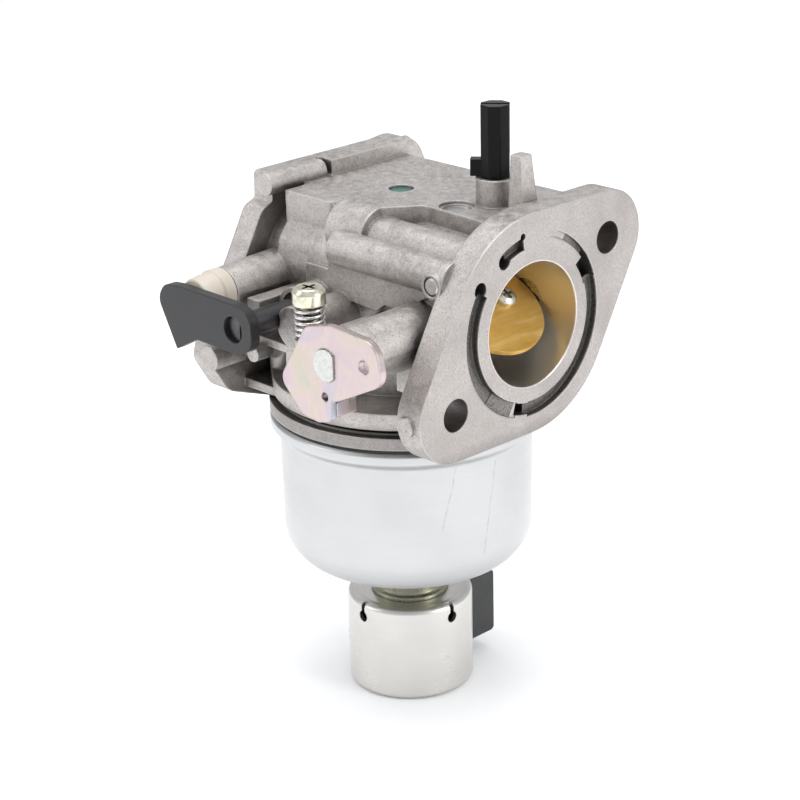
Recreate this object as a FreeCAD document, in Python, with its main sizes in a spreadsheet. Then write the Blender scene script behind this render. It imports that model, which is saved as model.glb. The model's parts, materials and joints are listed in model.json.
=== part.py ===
import FreeCAD, Part
import math
import os
import re
import Sketcher

# Float-bowl carburetor for a small four-stroke engine, with a fuel shut-off solenoid.
# Origin: centre of the throttle bore on the engine-flange face.
# +X leaves that face, +Z is up, millimetres throughout.

SIZES = {
    # throat and flanges
    "bore_r": 12.5, "horn_r": 14.0, "venturi_r": 10.0, "tube_r": 16.0,
    "flange_t": 6.0, "flange_r": 22.3, "ear_r": 9.6,
    "rear_x": -65.8, "rear_t": 5.5,
    "stud_y": 21.65, "stud_z": 12.5, "stud_r": 3.3,
    "ring_r": 15.5, "groove_r": 18.6, "groove_t": 1.6,
    "deck_z": 19.3, "deck_front": -13.4, "deck_back": 22.5,
    # throttle
    "throttle_x": -13.2, "throttle_shaft_r": 3.5, "throttle_plate_r": 12.35,
    "throttle_tilt": 56.3, "throttle_lever_y": -42.2, "throttle_lever_t": 1.5,
    "throttle_end_r": 3.1, "throttle_flat": 2.2, "throttle_offset": 0.6,
    # choke
    "choke_x": -42.1, "choke_z": -0.5, "choke_shaft_r": 3.5, "choke_plate_r": 13.35,
    "choke_lever_y": -40.0, "choke_lever_t": 2.2, "choke_end_r": 2.5, "choke_flat": 0.9,
    "choke_offset": 0.4,
    # both butterflies
    "plate_t": 1.0, "fit_gap": 0.05, "screw_spread": 5.0,
    # adjusters
    "idle_x": -22.6, "idle_y": -37.3, "idle_tip_z": -6.2, "idle_head_z": 12.0,
    "mixture_x": -16.9, "mixture_y": 7.6, "mixture_boss_z": 24.8, "cap_top_z": 39.3,
    # fuel inlet
    "inlet_x": -56.7, "inlet_z": 1.9, "inlet_end_y": -30.0,
    # bowl
    "bowl_x": -35.7, "seat_z": -24.7, "rim_r": 28.2, "bowl_r": 26.3, "wall_t": 0.8,
    "gasket_t": 0.9, "bowl_floor_z": -58.8, "bowl_corner_r": 8.5,
    "stem_r": 8.5, "stem_end_z": -57.6,
    # float
    "float_pin_x": -57.0, "float_pin_z": -28.0, "float_pin_r": 0.8,
    "needle_x": -51.5, "float_in_r": 12.0, "float_out_r": 21.8,
    "float_top_z": -31.5, "float_base_z": -45.0,
    # solenoid
    "can_r": 13.33, "can_top_z": -67.3, "can_base_z": -88.1, "jet_base_z": -49.2,
    "plug_x_half": 5.0, "plug_end_y": 20.8, "plug_top_z": -69.4, "plug_h": 14.6,
}

doc = FreeCAD.newDocument("carburetor")
sheet = doc.addObject("Spreadsheet::Sheet", "Sizes")
for row, (alias, value) in enumerate(SIZES.items(), 1):
    sheet.set("A%d" % row, alias)
    sheet.set("B%d" % row, str(value))
    sheet.setAlias("B%d" % row, alias)
doc.recompute()

X = FreeCAD.Vector(1, 0, 0)
Y = FreeCAD.Vector(0, 1, 0)
Z = FreeCAD.Vector(0, 0, 1)
TURN = {
    "z": FreeCAD.Rotation(),
    "x": FreeCAD.Rotation(Y, 90),
    "y": FreeCAD.Rotation(X, -90),
}
PLANES = {"xy": "XY_Plane", "xz": "XZ_Plane", "yz": "YZ_Plane"}
NODES = []


# ---------------------------------------------------------------- helpers
def size(alias):
    return SIZES[alias]


def formula(text):
    """Expression text in which every sheet name points at the sheet."""
    def full(match):
        word = match.group()
        return "Sizes." + word if word in SIZES else word
    return re.sub(r"[A-Za-z_]\w*", full, str(text))


def bind(obj, **sizes):
    for prop, text in sizes.items():
        obj.setExpression(prop, formula(text))


def place(obj, at=(0, 0, 0), axis="z", turn=None):
    obj.Placement = FreeCAD.Placement(FreeCAD.Vector(), turn or TURN[axis])
    for letter, text in zip("xyz", at):
        obj.setExpression(".Placement.Base." + letter, formula(text))
    return obj


def cyl(name, radius, height, at=(0, 0, 0), axis="z"):
    obj = doc.addObject("Part::Cylinder", name)
    bind(obj, Radius=radius, Height=height)
    return place(obj, at, axis)


def cone(name, radius_1, radius_2, height, at=(0, 0, 0), axis="z"):
    obj = doc.addObject("Part::Cone", name)
    bind(obj, Radius1=radius_1, Radius2=radius_2, Height=height)
    return place(obj, at, axis)


def box(name, low, high, turn=None):
    obj = doc.addObject("Part::Box", name)
    for prop, lo, hi in zip(("Length", "Width", "Height"), low, high):
        obj.setExpression(prop, formula("(%s) - (%s)" % (hi, lo)))
    return place(obj, low, "z", turn)


def fuse(name, pieces):
    obj = doc.addObject("Part::MultiFuse", name)
    obj.Shapes = pieces
    obj.Refine = True
    return obj


def cut(name, base, tools):
    tool = tools[0] if len(tools) == 1 else fuse(name + "_tools", tools)
    obj = doc.addObject("Part::Cut", name)
    obj.Base = base
    obj.Tool = tool
    obj.Refine = True
    return obj


def group(name, pieces):
    """Several separate solids under one name."""
    obj = doc.addObject("Part::Compound", name)
    obj.Links = pieces
    return obj


def node(name, obj):
    obj.Label = name
    NODES.append(obj)
    return obj


def flat(u, v):
    return FreeCAD.Vector(u, v, 0)


def rounded(corners):
    """Lines and arcs round a polygon of (u, v, radius) corners."""
    count = len(corners)
    ends = []
    for i in range(count):
        u, v, radius = corners[i]
        here = flat(u, v)
        back = flat(*corners[i - 1][:2]) - here
        ahead = flat(*corners[(i + 1) % count][:2]) - here
        half = back.getAngle(ahead) / 2
        reach = radius / math.tan(half) if radius else 0
        back.normalize()
        ahead.normalize()
        start, end = here + back * reach, here + ahead * reach
        middle = None
        if radius:
            inward = (back + ahead).normalize()
            middle = here + inward * (radius / math.sin(half) - radius)
        ends.append((start, middle, end))
    parts = []
    for i, (start, middle, end) in enumerate(ends):
        if middle is not None:
            parts.append(Part.Arc(start, middle, end))
        following = ends[(i + 1) % count][0]
        if end.distanceToPoint(following) > 1e-6:
            parts.append(Part.LineSegment(end, following))
    return parts


def hull(circles):
    """Belt round circles (u, v, radius) listed anticlockwise."""
    parts = []
    tangents = []
    for i, (u, v, radius) in enumerate(circles):
        nu, nv, next_radius = circles[(i + 1) % len(circles)]
        span = math.hypot(nu - u, nv - v)
        lean = math.acos((radius - next_radius) / span)
        angle = math.atan2(nv - v, nu - u) - lean
        off = flat(math.cos(angle), math.sin(angle))
        tangents.append((angle, flat(u, v) + off * radius, flat(nu, nv) + off * next_radius))
    for i, (u, v, radius) in enumerate(circles):
        start_angle, end_angle = tangents[i - 1][0], tangents[i][0]
        while end_angle < start_angle:
            end_angle += 2 * math.pi
        mid = (start_angle + end_angle) / 2
        top = flat(u, v) + flat(math.cos(mid), math.sin(mid)) * radius
        parts.append(Part.Arc(tangents[i - 1][2], top, tangents[i][1]))
        parts.append(Part.LineSegment(tangents[i][1], tangents[i][2]))
    return parts


def disc(u, v, radius):
    return Part.Circle(flat(u, v), Z, radius)


def ring_slot(inner, outer, start, end):
    """Closed sector of a ring, angles in degrees."""
    def at(radius, angle):
        return flat(radius * math.cos(math.radians(angle)), radius * math.sin(math.radians(angle)))
    mid = (start + end) / 2
    return [
        Part.Arc(at(inner, start), at(inner, mid), at(inner, end)),
        Part.LineSegment(at(inner, end), at(outer, end)),
        Part.Arc(at(outer, end), at(outer, mid), at(outer, start)),
        Part.LineSegment(at(outer, start), at(inner, start)),
    ]


def sketched(name, plane, outline, offset=0):
    body = doc.addObject("PartDesign::Body", name)
    sketch = body.newObject("Sketcher::SketchObject", name + "_sketch")
    origin = [f for f in body.Origin.OriginFeatures if f.Role == PLANES[plane]][0]
    sketch.AttachmentSupport = [(origin, "")]
    sketch.MapMode = "FlatFace"
    sketch.setExpression(".AttachmentOffset.Base.z", formula(offset))
    for part in outline:
        sketch.addGeometry(part, False)
    return body, sketch


def plate(name, plane, outline, thickness, offset=0, at=(0, 0, 0), turn=None):
    """Flat piece padded along its plane's normal (+Z, -Y or +X)."""
    body, sketch = sketched(name, plane, outline, offset)
    pad = body.newObject("PartDesign::Pad", name + "_pad")
    pad.Profile = sketch
    pad.setExpression("Length", formula(thickness))
    sketch.Visibility = False
    return place(body, at, "z", turn)


def turned(name, profile, at=(0, 0, 0), axis="z"):
    """Piece revolved about its own Z from (r, z, corner radius) points."""
    body, sketch = sketched(name, "xz", rounded(profile))
    rev = body.newObject("PartDesign::Revolution", name + "_turn")
    rev.Profile = sketch
    rev.ReferenceAxis = (sketch, ["V_Axis"])
    rev.Angle = 360
    sketch.Visibility = False
    return place(body, at, axis)


def steps(*pairs, inner=0):
    """Stepped shaft profile from (radius, z) pairs, bottom to top."""
    points = [(inner, pairs[0][1], 0)]
    for radius, level in pairs:
        points.append((radius, level, 0))
    points.append((inner, pairs[-1][1], 0))
    return points


def spring(name, radius, wire, pitch, height, at=(0, 0, 0), axis="z"):
    """Coil spring of round wire."""
    helix = doc.addObject("Part::Helix", name + "_path")
    bind(helix, Radius=radius, Pitch=pitch, Height=height)
    helix.Style = 1
    section = doc.addObject("Part::Circle", name + "_wire")
    bind(section, Radius=wire)
    section.Placement = FreeCAD.Placement(FreeCAD.Vector(radius, 0, 0), FreeCAD.Rotation(X, 90))
    coil = doc.addObject("Part::Sweep", name)
    coil.Sections = [section]
    coil.Spine = (helix, ["Edge1"])
    coil.Solid = True
    coil.Frenet = True
    return place(coil, at, axis)


# ---------------------------------------------------------------- throat cavity
throat = turned("throat_cavity", [
    (0, size("rear_x") - 1, 0),
    (size("horn_r") + 1.6, size("rear_x") - 1, 0),
    (size("horn_r") + 1.2, size("rear_x"), 0),
    (size("horn_r"), size("rear_x") + 4, 2),
    (size("horn_r"), -37.5, 4),
    (size("venturi_r"), -31.5, 4),
    (size("venturi_r"), -29.0, 4),
    (size("bore_r"), -24.5, 3),
    (size("bore_r"), 1, 0),
    (0, 1, 0),
], axis="x")


# ---------------------------------------------------------------- body casting
def engine_flange():
    ear_y, ear_z = size("stud_y"), size("stud_z")
    belt = hull([
        (ear_y, ear_z, size("ear_r")),
        (0, 0.001, size("flange_r")),
        (-ear_y, -ear_z, size("ear_r")),
        (0, -0.001, size("flange_r")),
    ])
    return plate("engine_flange", "yz", belt, "flange_t", "-flange_t")


def rear_flange():
    outline = rounded([
        (-12.8, 21.5, 1.2), (20.0, 21.5, 5), (28.5, 22.4, 7), (33, 12, 5), (22, -9, 9),
        (12, -25.4, 8), (-15, -26.0, 7), (-27, -21.6, 5), (-31.6, -14, 4), (-30.3, -10.5, 2),
        (-20.8, 5.5, 3), (-15.8, 14.6, 3), (-12.8, 15.8, 1),
    ])
    return plate("rear_flange", "yz", outline, "rear_t", "rear_x")


def deck():
    front, back = size("deck_front"), size("deck_back")
    outline = rounded([
        (-61.5, -7, 0), (-55.4, -7, 2), (-55.4, front, 0), (-42.2, front, 0.8), (-41.4, -9.5, 0.5),
        (-31.9, -9.5, 1.5), (-26.5, -2.5, 3), (-5.0, -3.5, 0), (-5.0, back, 0), (-61.5, back, 0),
    ])
    return plate("deck", "xy", outline, 8, "deck_z - 8")


def limit_post():
    post = doc.addObject("Part::Wedge", "limit_post")
    post.Xmin, post.Xmax, post.X2min, post.X2max = 0, 3.9, 0.5, 3.2
    post.Zmin, post.Zmax, post.Z2min, post.Z2max = -4.6, 0, -3.2, -0.3
    post.Ymin, post.Ymax = 0, 12.2
    return place(post, (-9.9, 3.6, 19.0), turn=FreeCAD.Rotation(X, 90))


def side_pad():
    outline = rounded([
        (-45.5, 7.2, 0.6), (-45.5, 0.5, 0.6), (-38.0, 0.5, 0.6), (-36.6, 3.0, 0.6), (-33.0, 1.8, 1),
        (-25.1, 1.6, 0.5), (-23.1, 3.1, 0.5), (-19.5, 2.9, 1), (-10.7, 7.5, 0), (-9.0, 11, 0),
        (-38.5, 11, 0.5), (-38.9, 7.2, 0),
    ])
    return plate("side_pad", "xz", outline, 3.5, 14.0)


def side_wall(name, start, length, outline):
    """Solid run of the casting's near side, from its cross-section."""
    return plate(name, "yz", rounded(outline), length, start)


def casting_solids():
    bowl = ("bowl_x", 0, "seat_z")
    parts = [
        engine_flange(),
        rear_flange(),
        cyl("throat_tube", "tube_r", "58", ("rear_x + rear_t - 1", 0, 0), "x"),
        deck(),
        cyl("upper_gallery", 5.8, 10.2, (-42.0, -9.4, "deck_z - 5.8"), "x"),
        cyl("upper_gallery_low", 5.2, 27.5, (-32.0, -9.4, 12.2), "x"),
        cyl("lower_gallery", 3.6, 32, (-37.0, -16.2, 11.7), "x"),
        side_wall("gallery_wall", -37, 32, [
            (-10, 0, 0), (-16.6, 0, 2), (-16.9, 6, 4), (-16.5, 12, 2), (-10, 14, 0),
        ]),
        side_pad(),
        box("gallery_filler", (-40.2, -14.4, 7.2), (-36.8, -12, 11)),
        side_wall("horn_wall", -55, 15, [
            (-10, -1, 0), (-16.0, -1, 2), (-16.9, 5, 6), (-15.9, 10.2, 5), (-13.2, 13.4, 0.5),
            (-10, 13.4, 0),
        ]),
        cyl("inlet_riser", 2.9, 23, (-54.5, -16.5, -21.5)),
        cone("inlet_tube", 4.7, 5.4, 18, ("inlet_x", "inlet_end_y", "inlet_z"), "y"),
        cyl("choke_boss", 4.6, 12, ("choke_x", -24, "choke_z"), "y"),
        cyl("choke_boss_back", 5.0, 9, ("choke_x", 13, "choke_z"), "y"),
        cyl("nozzle_boss", 4.3, 18.4, ("bowl_x", -30.4, -1.2), "y"),
        box("square_bar", (-50.4, -29, -1.7), (-46.9, -12, 1.4)),
        cone("throttle_boss", 5.6, 6.2, 26.5, ("throttle_x", -38.5, 0), "y"),
        cyl("throttle_boss_back", 6.5, 9.5, ("throttle_x", 13, 0), "y"),
        cyl("idle_lug", 3.0, 4.2, ("idle_x", "idle_y", -2.5)),
        box("idle_arm", ("idle_x - 2.6", "idle_y", -2.5), ("idle_x + 3.0", -14, 1.2)),
        box("flange_gusset", (-13.4, -24, -12.7), (-5, -12, -4)),
        cyl("seat_ring", "rim_r", 2.5, bowl),
        cyl("seat_neck", 26.4, 3, bowl),
        cyl("seat_disc", 27.4, 3.4, ("bowl_x", 0, "seat_z + 3.9")),
        cyl("column", 17.5, 14, ("bowl_x", 0, "seat_z + 4")),
        box("engine_rib", (-22, -3, -21), (-5, 3, -13)),
        box("rear_rib", (-61, -3, -24), (-50, 3, -13)),
        box("middle_shelf", (-61, -25.5, -9.4), (-40, -13, -7.8)),
        box("shelf_web", (-43.5, -25.5, -20.5), (-42, -12, -7.8)),
        box("low_shelf", (-61, -22.5, -21.6), (-48, -13, -19.8)),
        cyl("rear_bar", 2.3, 40.5, (-58.9, -16.0, 20.3), "y"),
        box("rear_bar_block", (-61, 0.3, 18.5), (-56.5, 22.5, 22.5)),
        cyl("rear_pad", 2.6, 14, (-59.6, -32.3, -12.9), "y"),
        cyl("ear_pad", 2.0, 5, (-3.6, -31.8, -13.0), "y"),
        cyl("pin_stub", 1.7, 14, (-50.3, -28.5, -10.6), "y"),
        cyl("mixture_boss", 3.9, "mixture_boss_z - 12", ("mixture_x", "mixture_y", 12)),
        limit_post(),
        cyl("swage_boss", 2.5, 9, (-7.6, -20.2, 10.9), "y"),
        cyl("stem", "stem_r", "seat_z - stem_end_z + 2", ("bowl_x", 0, "stem_end_z")),
        box("float_lug_front", ("float_pin_x - 2", -7.5, "float_pin_z - 2"),
            ("float_pin_x + 2", -5.2, "seat_z + 1")),
        box("float_lug_back", ("float_pin_x - 2", 5.2, "float_pin_z - 2"),
            ("float_pin_x + 2", 7.5, "seat_z + 1")),
    ]
    return fuse("casting_blank", parts)


def run_out(name, low, high, start, end, depth, slope):
    """Groove cutter whose floor climbs towards its end angle."""
    middle = math.radians((start + end) / 2)
    turn = FreeCAD.Rotation(FreeCAD.Vector(0, math.cos(middle), math.sin(middle)), slope)
    return plate(name, "yz", ring_slot(low, high, start, end), 4, -depth, turn=turn)


def face_grooves():
    """Vent grooves cut in the engine face round the bore."""
    inner, outer = size("ring_r"), size("groove_r")
    arcs = {
        "left": (inner, outer, 146, 228, "groove_t"),
        "low_pocket": (inner + 0.2, outer - 0.5, 252, 265, "2.4 * groove_t"),
        "right": (inner, outer, 264, 378, "groove_t"),
        "right_pocket": (inner - 0.3, outer + 0.1, 378, 397, "2.4 * groove_t"),
        "top_left": (inner + 0.2, outer - 0.3, 99, 118, "groove_t"),
    }
    cutters = [
        run_out("run_out_low", inner, outer, 227, 253, 0.85, 9.0),
        run_out("run_out_top", inner + 1.7, outer, 396, 436, 0.5, 5.0),
    ]
    for side, (low, high, start, end, deep) in arcs.items():
        outline = ring_slot(low, high, start, end)
        cutters.append(plate("groove_" + side, "yz", outline, "(%s) + 1" % deep, "-(%s)" % deep))
    for i, (y, z) in enumerate(((-14.6, 10.4), (-8.0, 14.5))):
        cutters.append(cyl("vent_port_%d" % i, 1.6, 5, (-4, y, z), "x"))
    cutters.append(cyl("pin_port", 0.7, 4, (-3, -2.9, 18.2), "x"))
    return cutters


def casting_holes():
    holes = [throat] + face_grooves()
    for i, side in enumerate(("", "-")):
        y, z = side + "stud_y", side + "stud_z"
        holes.append(cyl("stud_bore_%d" % i, "stud_r", "4 - rear_x", ("rear_x - 2", y, z), "x"))
    holes += [
        cyl("throttle_hole", "throttle_shaft_r + fit_gap", 59, ("throttle_x", -39, 0), "y"),
        cyl("throttle_seal_seat", 4.93, 2.6, ("throttle_x", -39, 0), "y"),
        cyl("choke_hole", "choke_shaft_r + fit_gap", 44, ("choke_x", -25, "choke_z"), "y"),
        cyl("choke_neck_hole", "choke_end_r + 0.4", 9, ("choke_x", -33, "choke_z"), "y"),
        cyl("idle_hole", 2.05, 8, ("idle_x", "idle_y", -4)),
        cyl("mixture_hole", 1.65, 18, ("mixture_x", "mixture_y", 9)),
        cyl("mixture_spring_seat", 2.9, 6, ("mixture_x", "mixture_y", "mixture_boss_z - 5")),
        cyl("cup_seat", 3.62, 3, (-21.3, 1.2, "deck_z - 1.6")),
        cyl("seal_seat", 2.62, 3, (-38.7, 3.0, "deck_z - 1.2")),
        cyl("swage_seat", 1.92, 2, (-7.6, -21.2, 10.9), "y"),
        cyl("inlet_hole", 3.0, 14, ("inlet_x", -31, "inlet_z"), "y"),
        cyl("inlet_drop", 1.2, 21.5, (-54.5, -16.5, -19.5)),
        cyl("inlet_cross", 1.2, 17.4, (-53.2, -17.2, -19.4), "y"),
        cyl("seat_hole", 3.0, 5.4, ("needle_x", 0, "seat_z - 1")),
        cyl("seat_feed", 1.2, 6, ("needle_x", 0, "seat_z")),
        cyl("neck_hole", 6.05, "jet_base_z - stem_end_z + 1", ("bowl_x", 0, "stem_end_z - 1")),
        cyl("jet_hole", 3.02, 6, ("bowl_x", 0, "jet_base_z - 0.1")),
        cyl("nozzle_hole", 2.42, 42, ("bowl_x", 0, "jet_base_z + 5.8")),
        cyl("fuel_port", 1.3, 24, ("bowl_x", -12, "jet_base_z - 2.3"), "y"),
        cyl("pilot_hole", 2.02, 7, (-27, 10, "seat_z - 0.5")),
        cyl("pilot_feed", 0.7, 20, (-27, 10, "seat_z")),
        cyl("float_pin_hole", "float_pin_r + 0.03", 20, ("float_pin_x", -10, "float_pin_z"), "y"),
        turned("rim_clearance", [
            (24.8, -34, 0), (28.7, -34, 0), (28.7, size("seat_z"), 0), (24.8, size("seat_z"), 0),
        ], ("bowl_x", 0, 0)),
        box("rear_bar_notch", (-60.2, -0.7, 19.5), (-56, 0.5, 23.5)),
    ]
    return holes


casting = cut("casting", casting_solids(), casting_holes())
node("body_casting", casting)


# ---------------------------------------------------------------- small fixed pieces
node("deck_cup_plug", cut("cup_plug", cyl("cup_disc", 3.6, 1.1, (-21.3, 1.2, "deck_z - 1.55")),
                          [cyl("cup_hollow", 2.9, 1, (-21.3, 1.2, "deck_z - 1.0"))]))
node("deck_seal_plug", cyl("seal_plug", 2.6, 0.7, (-38.7, 3.0, "deck_z - 1.15")))
node("side_swage_plug", turned("swage_turned", [
    (0, 0, 0), (1.4, 0, 0), (1.9, 0.4, 0), (1.9, 0.95, 0), (0, 0.95, 0),
], (-7.6, -20.2, 10.9), "y"))
node("throttle_seal", cut("throttle_seal_cut",
                          cyl("throttle_seal_ring", 4.9, 2.0, ("throttle_x", -38.4, 0), "y"),
                          [cyl("throttle_seal_bore", 3.6, 4, ("throttle_x", -39, 0), "y")]))

fitting = turned("inlet_fitting_turned", [
    (1.6, -7.3, 0), (4.0, -7.3, 0.6), (4.3, -4.6, 0.6), (4.3, -3.0, 0.4), (4.75, -2.6, 0.4),
    (4.75, -0.05, 0.3), (2.95, -0.05, 0), (2.95, 8.0, 0.4), (1.6, 8.0, 0),
], ("inlet_x", "inlet_end_y", "inlet_z"), "y")
node("fuel_inlet_fitting", fitting)

node("inlet_seat", turned("seat_turned", [
    (1.1, 4.3, 0), (2.97, 4.3, 0), (2.97, 0, 0.2), (2.1, 0, 0), (2.1, 2.2, 0),
], ("needle_x", 0, "seat_z")))

node("main_jet", turned("jet_turned", [
    (0.6, 1.2, 0), (0.6, 5.6, 0), (2.98, 5.6, 0), (2.98, 0, 0), (1.9, 0, 0),
], ("bowl_x", 0, "jet_base_z")))

node("main_nozzle", turned("nozzle_turned", [
    (1.1, 0, 0), (2.38, 0, 0), (2.38, 37.8, 0.6), (1.1, 39.2, 0),
], ("bowl_x", 0, "jet_base_z + 5.9")))

node("pilot_jet", turned("pilot_turned", [
    (0.4, 0, 0), (1.98, 0, 0), (1.98, 5.6, 0), (0.4, 5.6, 0),
], (-27, 10, "seat_z + 0.2")))

node("float_pin", cyl("float_pin_rod", "float_pin_r", 16, ("float_pin_x", -8, "float_pin_z"), "y"))


# ---------------------------------------------------------------- bowl
def bowl():
    rim, wall, out = size("rim_r"), size("wall_t"), size("bowl_r")
    top = size("seat_z") - size("gasket_t")
    floor, corner = size("bowl_floor_z"), size("bowl_corner_r")
    inside = out - wall
    profile = [
        (6.3, floor, 0), (out - 0.3, floor, corner), (out, top - 4.0, 1.5),
        (rim, top - 2.4, 0.9), (rim, top - 0.6, 0.5), (rim - 0.6, top, 0), (inside + 0.3, top, 0.6),
        (inside, top - 3.0, 1), (inside - 0.3, floor + wall, corner - wall), (6.3, floor + wall, 0),
    ]
    return turned("bowl_turned", profile, ("bowl_x", 0, 0))


node("fuel_bowl", bowl())
node("bowl_gasket", turned("gasket_turned", steps(
    (27.6, size("seat_z") - size("gasket_t")), (27.6, size("seat_z")), inner=25.6), ("bowl_x", 0, 0)))
node("bowl_inner_washer", turned("inner_washer_turned", steps(
    (9.2, size("bowl_floor_z") + size("wall_t") + 0.02),
    (9.2, size("stem_end_z") - 0.02), inner=6.4), ("bowl_x", 0, 0)))


# ---------------------------------------------------------------- solenoid
def solenoid_can():
    top, base, radius = size("can_top_z"), size("can_base_z"), size("can_r")
    shell = turned("can_turned", [
        (7.0, top - 0.3, 0), (10.6, top - 0.3, 0.5), (11.8, top, 0.5), (radius, top, 1.1),
        (radius, base, 1.0), (radius - 1.6, base, 0), (radius - 1.6, base + 0.9, 0),
        (radius - 0.9, base + 0.9, 0), (radius - 0.9, top - 1.1, 0.3), (7.0, top - 1.1, 0),
    ])
    place(shell, ("bowl_x", 0, 0), turn=FreeCAD.Rotation(Z, 40))
    slots = []
    for i in range(4):
        turn = FreeCAD.Rotation(Z, -93 + 90 * i)
        start = turn.multVec(FreeCAD.Vector(radius - 1.5, 0, 0))
        hole = cyl("crimp_hole_%d" % i, 1.2, 3)
        place(hole, ("bowl_x + %.4f" % start.x, "%.4f" % start.y, top - 3.0), turn=turn * TURN["x"])
        corner = turn.multVec(FreeCAD.Vector(radius - 1.45, -0.5, 0))
        slit = box("crimp_slit_%d" % i, (0, 0, 0), (3, 1.0, 4))
        place(slit, ("bowl_x + %.4f" % corner.x, "%.4f" % corner.y, top - 3.0), turn=turn)
        slots += [hole, slit]
    return cut("can_cut", shell, slots)


node("solenoid_can", solenoid_can())
node("solenoid_end_plate", turned("end_plate_turned", steps(
    (11.6, size("can_base_z") + 0.5), (11.6, size("can_base_z") + 2.4)), ("bowl_x", 0, 0)))
node("solenoid_washer", turned("washer_turned", steps(
    (8.2, size("bowl_floor_z") - 0.65), (8.2, size("bowl_floor_z") - 0.02), inner=6.3), ("bowl_x", 0, 0)))
node("solenoid_bushing", turned("bushing_turned", [
    (2.2, size("can_top_z") - 8, 0), (2.2, size("jet_base_z") - 4.5, 0),
    (5.95, size("jet_base_z") - 4.5, 0.6), (5.95, size("bowl_floor_z") - 0.7, 0),
    (7.6, size("bowl_floor_z") - 0.7, 0.3), (7.1, size("bowl_floor_z") - 2.0, 0.5),
    (7.1, size("can_top_z") + 0.9, 0.6), (8.2, size("can_top_z") + 0.5, 0.3),
    (8.2, size("can_top_z") - 0.25, 0), (6.9, size("can_top_z") - 0.25, 0),
    (6.9, size("can_top_z") - 1.2, 0), (5.0, size("can_top_z") - 1.2, 0),
    (5.0, size("can_top_z") - 8, 0),
], ("bowl_x", 0, 0)))
node("solenoid_bobbin", turned("bobbin_turned", [
    (5.2, size("can_base_z") + 2.6, 0), (12.0, size("can_base_z") + 2.6, 0),
    (12.0, size("can_base_z") + 3.8, 0), (6.4, size("can_base_z") + 3.8, 0),
    (6.4, size("can_top_z") - 3.2, 0), (11.6, size("can_top_z") - 3.2, 0),
    (11.6, size("can_top_z") - 2.0, 0), (5.2, size("can_top_z") - 2.0, 0),
], ("bowl_x", 0, 0)))
node("solenoid_coil", turned("coil_turned", steps(
    (11.2, size("can_base_z") + 3.9), (11.2, size("can_top_z") - 3.3), inner=6.5), ("bowl_x", 0, 0)))

plug_shell = cut("plug_cut",
    plate("plug_block", "yz", rounded([
        (11.9, size("plug_top_z") - size("plug_h"), 0),
        (size("plug_end_y"), size("plug_top_z") - size("plug_h"), 1),
        (size("plug_end_y"), size("plug_top_z"), 1), (11.9, size("plug_top_z"), 0),
    ]), "2 * plug_x_half", "bowl_x - plug_x_half"),
    [
        box("plug_socket", ("bowl_x - plug_x_half + 1.1", 14.6, "plug_top_z - plug_h + 1.1"),
            ("bowl_x + plug_x_half - 1.1", "plug_end_y + 1", "plug_top_z - 1.1")),
        cyl("plug_seat", "can_r + 0.06", 20, ("bowl_x", 0, "plug_top_z - 16")),
    ])
node("solenoid_connector", plug_shell)
node("solenoid_terminals", group("terminals", [
    box("terminal_a", ("bowl_x - 2.6", 14.62, "plug_top_z - 7.2"),
        ("bowl_x - 1.8", 19.5, "plug_top_z - 4.4")),
    box("terminal_b", ("bowl_x + 1.8", 14.62, "plug_top_z - 7.2"),
        ("bowl_x + 2.6", 19.5, "plug_top_z - 4.4")),
]))

plunger_at = ("bowl_x", 0, 0)
node("plunger", turned("plunger_turned", [
    (0, size("can_base_z") + 7.5, 0), (4.4, size("can_base_z") + 7.5, 0.3),
    (4.4, size("can_top_z") - 8.4, 0), (1.9, size("can_top_z") - 8.4, 0),
    (1.9, size("jet_base_z") - 2.0, 0), (0, size("jet_base_z") - 2.0, 0),
], plunger_at))
node("plunger_tip", turned("tip_turned", [
    (0, size("jet_base_z") - 1.95, 0), (1.9, size("jet_base_z") - 1.95, 0),
    (1.7, size("jet_base_z") - 0.4, 0), (0.5, size("jet_base_z") + 1.0, 0),
    (0, size("jet_base_z") + 1.0, 0),
], plunger_at))
node("plunger_spring", spring("plunger_coil", 3.2, 0.35, 1.2, 4.2, ("bowl_x", 0, "can_base_z + 2.9")))


# ---------------------------------------------------------------- float and inlet needle
def float_ring():
    ring = turned("float_turned", [
        (size("float_in_r"), size("float_base_z"), 1), (size("float_out_r"), size("float_base_z"), 2),
        (size("float_out_r"), size("float_top_z"), 2), (size("float_in_r"), size("float_top_z"), 1),
    ], ("bowl_x", 0, 0))
    relief = box("float_relief", (-62, -8.4, "float_top_z - 3"), ("needle_x - 2.4", 8.4, "float_top_z + 1"))
    pocket = box("float_pocket", ("needle_x - 2.5", -4.82, "float_top_z - 1.52"),
                 ("needle_x + 3.02", 4.82, "float_top_z + 1"))
    return cut("float_cut", ring, [relief, pocket])


node("float", float_ring())
hinge = cut("float_arm_cut",
    fuse("float_arm_blank", [
        cyl("arm_barrel", 1.7, 9.6, ("float_pin_x", -4.8, "float_pin_z"), "y"),
        box("arm_plate", ("float_pin_x", -4.8, "float_pin_z - 1.7"),
            ("needle_x + 3", 4.8, "float_pin_z - 0.2")),
        box("arm_drop", ("needle_x - 2.2", -4.8, "float_top_z - 1.5"),
            ("needle_x + 3", 4.8, "float_pin_z - 0.9")),
    ]),
    [cyl("arm_bore", "float_pin_r + 0.05", 12, ("float_pin_x", -6, "float_pin_z"), "y")])
node("float_arm", hinge)

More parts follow.
